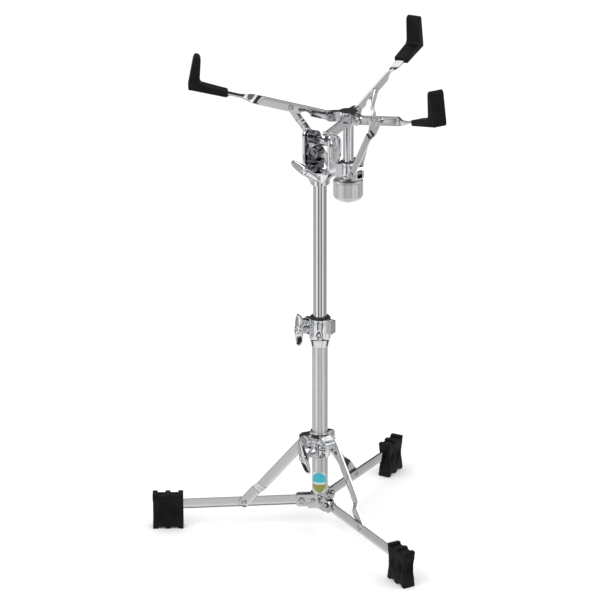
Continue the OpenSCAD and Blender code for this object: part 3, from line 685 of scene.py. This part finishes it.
# ---------- basket ----------
def basket_arms():
    """Strips with a notch below, twisted flat before the grip."""
    half_h, half_t, flat_t = ARM_H / 2, ARM_T / 2, 1.25
    notch_x, notch_r, notch_up = 34, 8, 3
    twist_from, twist_to = 94, 128
    xs = [-half_h * math.cos(a) for a in spread(0.05, math.pi / 2, 10)]
    xs += spread(2, 25, 5) + spread(26, 42, 20) + spread(45, 92, 6)
    xs += spread(twist_from, twist_to, 26) + spread(134, 187, 5)
    stations = []
    for x in xs:
        h = math.sqrt(max(0.02, half_h ** 2 - min(0, x) ** 2))
        arc = math.sqrt(max(0, notch_r ** 2 - (x - notch_x) ** 2))
        notch = max(0, arc - notch_up)
        turn = smooth(x, twist_from, twist_to)
        wide = h * (1 - turn) + ARM_FLAT_W / 2 * turn
        thick = half_t * (1 - turn) + flat_t * turn
        stations.append((x, 0, -wide + notch, wide, thick, 90 * turn))
    for k in TRIO:
        m = ARM[k]
        make(f"basket_arm_{k}_twisted", f"basket_arm_{k}", [strip(m, stations)])
        screw = [
            shaft(side_axis(m, (LINK_REACH, -half_t, 0)), PIN_R, ARM_T),
            screw_head(side_axis(m, (LINK_REACH, half_t, 0)), 4, 2.2),
        ]
        make(f"arm_screw_{k}_turned", f"arm_screw_{k}", screw)


def grips():
    outline = [
        on_arm(TIP_START, -4), (215, on_arm(196, -4)[1] - 1.5), *GRIP_RISE, on_arm(TIP_START, 4),
    ]
    nib_in, nib_out = TIP_START - 2.4, TIP_START + 3
    nib = [(nib_in, -3.4), (nib_out, -3.4), (nib_out, 1), (nib_in, 0)]
    steps, edge, half = 5, 1.1, TIP_HALF_W
    path = rounded(outline, 1.7, 4)
    count = len(path)
    for k in TRIO:
        m = ARM_FLAT[k]
        rings = []
        for i in range(2 * steps + 2):
            side, s = (-1, i) if i <= steps else (1, 2 * steps + 1 - i)
            a = math.pi / 2 * s / steps
            inset, y = edge * (1 - math.sin(a)), side * (half - edge + edge * math.cos(a))
            ring = []
            for j, p in enumerate(path):
                tangent = (path[(j + 1) % count] - path[j - 1]).normalized()
                inward = Vector((-tangent.y, tangent.x))
                q = p + inward * inset
                ring.append(m @ Vector((q.x, y, q.y)))
            rings.append(ring)
        parts = [loft(rings), slab(ARM[k], rounded(nib, 0.9, 4), -5, 5, 0.7)]
        make(f"arm_tip_{k}_moulded", f"arm_tip_{k}", parts, angle=50)


def basket_fasteners():
    arm, link = in_basket("arm_1_close"), in_basket("link_1_swing")
    out = SLIDER_HALF + 2 * PLANE_GAP + STRIP_T
    hub, slider = [], []
    for k in TRIO:
        m = ARM_FLAT[k]
        r = arm.xy.length
        hub.append(shaft(side_axis(m, (r, -EAR_OUT, arm.z)), PIN_R, 2 * EAR_OUT))
        hub.append(screw_head(side_axis(m, (r, EAR_OUT, arm.z)), 4, 2))
        hub.append(lathe(side_axis(m, (r, -EAR_OUT, arm.z), -1), dome(4, 1.6), 40))
        r = link.xy.length
        slider.append(shaft(side_axis(m, (r, -out, link.z)), PIN_R, out + SLIDER_HALF))
        slider.append(lathe(side_axis(m, (r, -out, link.z), -1), dome(4, 1.8), 40))
        slider.append(screw_head(side_axis(m, (r, SLIDER_HALF, link.z)), 4, 1.8))
    make("hub_pins_turned", "hub_pins", hub)
    make("slider_pins_turned", "slider_pins", slider)


def knob():
    low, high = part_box("basket_knob")
    r, z0, z1 = (high.x - low.x) / 2 / MM, low.z / MM, high.z / MM
    flutes, depth = 12, 0.45

    def shape(a, rr, z):
        inside = smooth(z, z0 + 4, z0 + 9) * (1 - smooth(z, z1 - 6, z1 - 2))
        valley = max(0, math.cos(flutes * a)) ** 3
        return rr - (depth * inside * valley if rr > r - 2 else 0)

    lower = [(r * math.sin(a), z0 + 11 - 11 * math.cos(a)) for a in spread(0.3, math.pi / 2, 10)]
    bore, well = 6.02, 8.6
    profile = [(bore, z0), (bore, z0 + 0.2), (7.5, z0 + 0.5)] + [(max(8, x), z) for x, z in lower]
    profile += [(r, z) for z in spread(z0 + 12, z1 - 2.4, 8)]
    profile += [(r - 0.4, z1 - 0.9), (r - 1.4, z1), (15.4, z1), (14.6, z1 - 0.6), (14.0, z1 - 4),
                (9.4, z1 - 5), (well, z1 - 6), (well, z0 + 9), (bore, z0 + 9), (bore, z0)]
    body = make("basket_knob_turned", "basket_knob", [lathe(BASKET, profile, 192, shape)])
    body.data.materials[0] = MATERIALS["knob_satin"]


def threads():
    """Screw thread on the basket rod, as a helix on its surface."""
    low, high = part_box("thread_rod")
    r = (high.x - low.x) / 2 / MM
    z0, z1 = low.z / MM, high.z / MM
    pitch, depth, segments = 1.25, 0.35, 40
    rings = []
    for z in spread(z0, z1, 420):
        ring = []
        for i in range(segments):
            a = 2 * math.pi * i / segments
            phase = ((z - z0) / pitch - a / (2 * math.pi)) % 1
            ends = smooth(z, z0, z0 + 0.8) * (1 - smooth(z, z1 - 0.8, z1))
            rr = r - depth * (1 - abs(2 * phase - 1)) - 0.4 * (1 - ends)
            ring.append(BASKET @ Vector((rr * math.cos(a), rr * math.sin(a), z)))
        rings.append(ring)
    make("thread_rod_cut", "thread_rod", [loft(rings)], angle=60)


def post():
    low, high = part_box("basket_post")
    r = (high.x - low.x) / 2 / MM
    z0, z1 = low.z / MM, high.z / MM
    profile = [(4, z0), (r - 0.5, z0), (r, z0 + 0.5), (r, z1 - 3), (r - 0.3, z1), (4, z1), (4, z0)]
    make("basket_post_turned", "basket_post", [lathe(BASKET, profile, 96)])


# ---------- tilter ----------
def yoke():
    """U-shaped casting with round ends, over a turned socket."""
    axle = TILT.z
    m = TILTER @ Matrix.Translation((0, 0, -axle))
    # One cheek from its crown down: its inner point, its outer point and its half width
    outlines = []
    top = YOKE_W / 2
    for t in spread(math.pi / 2 - 0.06, 0, 9):
        z = axle + top * math.sin(t)
        outlines.append(((YOKE_GAP, z), (YOKE_OUT, z), max(0.6, top * math.cos(t))))
    for z in spread(axle - 3, YOKE_IN_Z + 1, 5):
        outlines.append(((YOKE_GAP, z), (YOKE_OUT, z), top))
    for a in spread(0, math.pi / 2, 14):
        inner = (YOKE_GAP * math.cos(a), YOKE_IN_Z - YOKE_GAP * math.sin(a))
        lift = (YOKE_IN_Z - YOKE_OUT_Z) * (1 - math.sin(a)) * 0.9
        z_out = YOKE_OUT_Z - YOKE_OUT * math.sin(a) + lift
        outlines.append((inner, (YOKE_OUT * math.cos(a), max(YOKE_LOW + 0.2, z_out)), top))
    mirrored = [((-i[0], i[1]), (-o[0], o[1]), w) for i, o, w in outlines[-2::-1]]
    rings = []
    for inner, outer, w in outlines + mirrored:
        i, o = Vector(inner), Vector(outer)
        span = (o - i).length
        corners = [(0, -w), (span, -w), (span, w), (0, w)]
        ring = []
        for p in rounded(corners, min(1.5, span * 0.4, w * 0.6), 4):
            q = i + (o - i).normalized() * p.x
            ring.append(m @ Vector((q.x, p.y, q.y)))
        rings.append(ring)
    socket_r, bore = 13.5, 9.6
    turned = lathe(m, [
        (bore, YOKE_LOW), (socket_r - 0.8, YOKE_LOW), (socket_r, YOKE_LOW + 0.8),
        (socket_r, YOKE_LOW + 9), (socket_r - 0.5, YOKE_LOW + 14), (bore, YOKE_LOW + 14),
        (bore, YOKE_LOW),
    ], 96)
    make("tilter_yoke_cast", "tilter_yoke", [loft(rings), turned], angle=40)


def axle():
    m = along_x(TILTER, (-YOKE_OUT, 0, 0))
    parts = [
        shaft(m, 3.95, 2 * YOKE_OUT),
        lathe(along_x(TILTER, (-YOKE_OUT, 0, 0), -1), [
            (TINY, 0), (8, 0), (8, 1.2), (7.4, 2), (6.6, 2.3), (4.8, 2.5), (4.4, 1.7), (TINY, 1.5),
        ], 64),
    ]
    make("tilter_axle_turned", "tilter_axle", parts)


def stadium(r, shift):
    """Closed outline of two half circles with their centres apart along z."""
    upper = [(r * math.cos(a), shift + r * math.sin(a)) for a in spread(0, math.pi, 16)]
    return upper + [(-x, -z) for x, z in upper]


def cover():
    m = TILTER @ Matrix.Translation((YOKE_OUT, COVER_Y, COVER_Z - TILT.z))
    m = m @ Matrix.Rotation(math.pi / 2, 4, "Z")
    parts = [slab(m, stadium(COVER_R, COVER_SHIFT), -2.5, 0, 0.9)]
    outer, inner = stadium(COVER_R - 1.5, COVER_SHIFT), stadium(COVER_R - 3.5, COVER_SHIFT)
    rings = []
    for part, depth in ((0.0, -2.2), (0.25, -3.2), (0.5, -3.45), (0.75, -3.2), (1.0, -2.2)):
        ring = []
        for a, b in zip(outer, inner):
            x, z = a[0] * (1 - part) + b[0] * part, a[1] * (1 - part) + b[1] * part
            ring.append(m @ Vector((x, depth, z)))
        rings.append(ring)
    parts.append(loft(rings, closed=True))
    parts.append(lathe(side_axis(m, (0, -2.3, 0), -1), dome(5, 1.15), 48))
    make("tilter_cover_cast", "tilter_cover", parts)


def drum():
    m = along_x(TILTER, (DRUM_LOW, 0, 0))
    r, length = DRUM_R, DRUM_HIGH - DRUM_LOW
    flutes, bore, neck = 18, 4.1, length + 8.4

    def shape(a, rr, h):
        inside = smooth(h, 2, 3.4) * (1 - smooth(h, length - 3.4, length - 2))
        return rr - 0.9 * inside * max(0, math.cos(flutes * a)) ** 2 if rr > r - 0.4 else rr

    profile = [(bore, 0), (r - 1, 0), (r, 1)] + [(r, h) for h in spread(1.6, length - 1.6, 14)]
    profile += [(r, length - 1), (r - 1, length), (5.4, length), (5, length + 0.6), (5, neck),
                (bore, neck), (bore, 0)]
    make("tilt_drum_turned", "tilt_drum", [lathe(m, profile, 144, shape)])


def wings():
    bore = BOLT_R + 0.05
    m = radial(joint_at("height_wing_turn"), CLAMP_AZ)
    m = side_axis(m, (0, CLAMP_WING_Y, 0)) @ Matrix.Rotation(math.pi / 2, 4, "Z")
    neck = CLAMP_WING_Y - CLAMP_EAR - 0.5
    make("height_wing_cast", "height_wing_nut", wing(m, bore, neck), angle=50)
    bolt = TILTER @ Matrix.Translation((TILTER_BOLT_X, TILTER_WING_Y, TILTER_BOLT_Z - TILT.z))
    m = bolt @ Matrix.Rotation(TILTER_WING_TURN, 4, "Y") @ Matrix.Rotation(math.pi / 2, 4, "X")
    make("tilter_wing_cast", "tilter_wing_nut", wing(m, bore, 3), angle=50)
    axis = Vector(JOINTS["collar_wing_turn"]["axis"])
    azimuth = math.atan2(axis.y, axis.x)
    z = joint_at("collar_wing_turn").z
    face = radial((0, 0, z), azimuth)
    m = along_x(face, (COLLAR_WING_IN, 0, 0)) @ Matrix.Rotation(COLLAR_WING_TURN, 4, "Z")
    stem = shaft(along_x(face, (COLLAR_STEM_IN, 0, 0)), BOLT_R, COLLAR_STEM_LEN)
    make("collar_wing_cast", "collar_wing_screw", wing(m, 0.6, 3) + [stem], angle=50)


def loose_bolts():
    r = BOLT_R - 0.02
    m = radial((0, 0, 0), CLAMP_AZ) @ Matrix.Translation((CLAMP_EAR_R, 0, CLAMP_BOLT_Z))
    clamp = [shaft(side_axis(m, (0, -CLAMP_EAR, 0)), r, CLAMP_EAR + CLAMP_WING_Y + 6),
             screw_head(side_axis(m, (0, -CLAMP_EAR, 0), -1), 5, 3)]
    make("clamp_bolt_turned", "clamp_bolt", clamp)
    m = TILTER @ Matrix.Translation((TILTER_BOLT_X, 0, TILTER_BOLT_Z - TILT.z))
    tilt = [shaft(side_axis(m, (0, TILTER_BOLT_END, 0)), r, TILTER_BOLT_HEAD - TILTER_BOLT_END),
            screw_head(side_axis(m, (0, TILTER_BOLT_HEAD, 0)), 5, 3)]
    make("tilter_bolt_turned", "tilter_bolt", tilt)
    lug = radial((0, 0, 0), CLAMP_PIN_AZ) @ Matrix.Translation((CLAMP_PIN_R, 0, CLAMP_PIN_Z))
    top = lug @ Matrix.Translation((0, 0, CLAMP_PIN_LEN))
    under = lug @ Matrix.Translation((0, 0, 2)) @ Matrix.Rotation(math.pi, 4, "X")
    pin = [shaft(lug, PIN_R, CLAMP_PIN_LEN), lathe(top, dome(3.6, 1.2), 36),
           lathe(under, dome(3.6, 1.2), 36)]
    make("clamp_hinge_pin_turned", "clamp_hinge_pin", pin)


# ---------- CAD nodes that keep their shape ----------
def dress_nodes():
    """Gives each CAD node its material, and rounds the edges of castings and pressed plates."""
    edges = {
        "hub_casting": 0.4, "clamp_body": 0.6, "clamp_bushing": 0.3, "brace_collar": 0.6,
        "tilter_shoe": 0.8, "tilt_arm": 0.9, "basket_hub": 0.6, "slider_hub": 0.7,
        "knob_nut": 0.3, "upper_tube_plug": 0.3,
    }
    edges.update({f"hub_plate_{k}": 0.45 for k in TRIO})
    for name, node in frame["nodes"].items():
        node.data.materials.clear()
        node.data.materials.append(MATERIALS[SLOT_OF[name]])
        if name in edges:
            weld = node.modifiers.new("weld", "WELD")
            weld.merge_threshold = 0.01 * MM
            add_bevel(node, edges[name])


# ---------- studio ----------
def floor():
    mat, tree, bsdf = shader("floor", 0.0, (0.96, 0.96, 0.96), 0.9)
    tone = ramp(tree, noise(tree, 3, 2), [(0.3, 0.955), (0.7, 0.97)])
    tree.links.new(tone, bsdf.inputs["Base Color"])
    reach = 14
    corners = [(-reach, -reach, 0), (reach, -reach, 0), (reach, reach, 0), (-reach, reach, 0)]
    mesh = bpy.data.meshes.new("studio_floor")
    mesh.from_pydata(corners, [], [(0, 1, 2, 3)])
    obj = bpy.data.objects.new("studio_floor", mesh)
    bpy.context.scene.collection.objects.link(obj)
    obj.data.materials.append(mat)
    obj.visible_glossy = False


def softbox(name, place, size, power):
    data = bpy.data.lights.new(name, "AREA")
    data.size = size
    data.energy = power
    light = bpy.data.objects.new(name, data)
    bpy.context.scene.collection.objects.link(light)
    light.location = place
    aim = Vector((0, 0, 0.35)) - Vector(place)
    light.rotation_euler = aim.to_track_quat("-Z", "Y").to_euler()


def azimuth_pattern(tree, coord):
    """Brightness round the studio by azimuth, and the height of a direction from 0 to 1."""
    split = tree.nodes.new("ShaderNodeSeparateXYZ")
    tree.links.new(coord, split.inputs["Vector"])
    back = tree.nodes.new("ShaderNodeMath")
    back.operation = "MULTIPLY"
    back.inputs[1].default_value = -1
    tree.links.new(split.outputs["Y"], back.inputs[0])
    angle = tree.nodes.new("ShaderNodeMath")
    angle.operation = "ARCTAN2"
    tree.links.new(split.outputs["X"], angle.inputs[0])
    tree.links.new(back.outputs[0], angle.inputs[1])
    share = tree.nodes.new("ShaderNodeMapRange")
    share.inputs["From Min"].default_value = -math.pi
    share.inputs["From Max"].default_value = math.pi
    tree.links.new(angle.outputs[0], share.inputs["Value"])
    # (azimuth in degrees, brightness): 0 is the front, -90 the left and 90 the right
    degrees = [
        (-180, 0.62), (-140, 0.58), (-95, 0.44), (-70, 0.45), (-60, 1.0), (-40, 0.95), (-33, 0.8),
        (-29.5, 0.02), (-18, 0.02), (-14.5, 0.6), (0, 0.62), (14.5, 0.66), (18, 0.02), (29.5, 0.02),
        (33, 0.9), (50, 0.85), (64, 0.62), (76, 0.3), (108, 0.3), (124, 0.5), (180, 0.62),
    ]
    around = ramp(tree, share.outputs["Result"], [((d + 180) / 360, v) for d, v in degrees])
    lift = tree.nodes.new("ShaderNodeMapRange")
    lift.inputs["From Min"].default_value = -1
    tree.links.new(split.outputs["Z"], lift.inputs["Value"])
    return around, lift.outputs["Result"]


def studio():
    """Even white light, with dark flags and a bright ceiling that show only in reflections."""
    world = bpy.data.worlds.new("studio")
    world.use_nodes = True
    tree = world.node_tree
    plain = tree.nodes["Background"]
    plain.inputs["Color"].default_value = (1, 1, 1, 1)
    plain.inputs["Strength"].default_value = 1.08
    coord = tree.nodes.new("ShaderNodeTexCoord")
    around, height = azimuth_pattern(tree, coord.outputs["Generated"])
    # Height runs from straight down at 0 through the horizon at 0.5 to straight up at 1.
    # share is how much of the azimuth pattern shows there, and levels is the rest.
    share = ramp(tree, height, [
        (0.0, 0.0), (0.24, 0.0), (0.28, 1.0), (0.37, 1.0), (0.40, 0.65), (0.50, 0.65), (0.53, 0.0),
    ])
    levels = ramp(tree, height, [
        (0.0, 0.5), (0.08, 0.85), (0.16, 0.85), (0.185, 0.03), (0.215, 0.03), (0.24, 1.0),
        (0.27, 0.75), (0.38, 0.75), (0.41, 0.02), (0.435, 0.02), (0.45, 1.2), (0.49, 1.0),
        (0.52, 0.025), (0.62, 0.05), (0.74, 0.03), (0.79, 1.0), (0.88, 1.15), (0.93, 0.2),
        (1.0, 0.15),
    ])
    blend = tree.nodes.new("ShaderNodeMix")
    blend.data_type = "RGBA"
    tree.links.new(share, blend.inputs["Factor"])
    tree.links.new(levels, blend.inputs["A"])
    tree.links.new(around, blend.inputs["B"])
    seen = tree.nodes.new("ShaderNodeBackground")
    tree.links.new(blend.outputs["Result"], seen.inputs["Color"])
    path = tree.nodes.new("ShaderNodeLightPath")
    pick = tree.nodes.new("ShaderNodeMixShader")
    tree.links.new(path.outputs["Is Glossy Ray"], pick.inputs["Fac"])
    tree.links.new(plain.outputs["Background"], pick.inputs[1])
    tree.links.new(seen.outputs["Background"], pick.inputs[2])
    tree.links.new(pick.outputs["Shader"], tree.nodes["World Output"].inputs["Surface"])
    bpy.context.scene.world = world
    floor()
    softbox("key", (-1.8, -1.6, 2.8), 1.6, 22)
    softbox("fill", (2.0, -1.0, 2.2), 1.6, 8)
    bpy.context.scene.view_settings.view_transform = "Standard"


def camera():
    """Camera at the photograph's viewing angle, 21 degrees down on the stand."""
    data = bpy.data.cameras.new("camera")
    data.sensor_width = 36
    data.lens = 194.9
    data.shift_x = -0.0332
    data.clip_end = 60
    cam = bpy.data.objects.new("camera", data)
    bpy.context.scene.collection.objects.link(cam)
    cam.location = (0, -4.1795, 1.9298)
    cam.rotation_euler = (math.radians(69.18), 0, 0)
    bpy.context.scene.camera = cam


dress_nodes()
column_tubes()
hub_fasteners()
legs()
braces()
feet()
wings()
loose_bolts()
yoke()
axle()
cover()
drum()
post()
threads()
knob()
basket_arms()
links()
grips()
basket_fasteners()
studio()
camera()
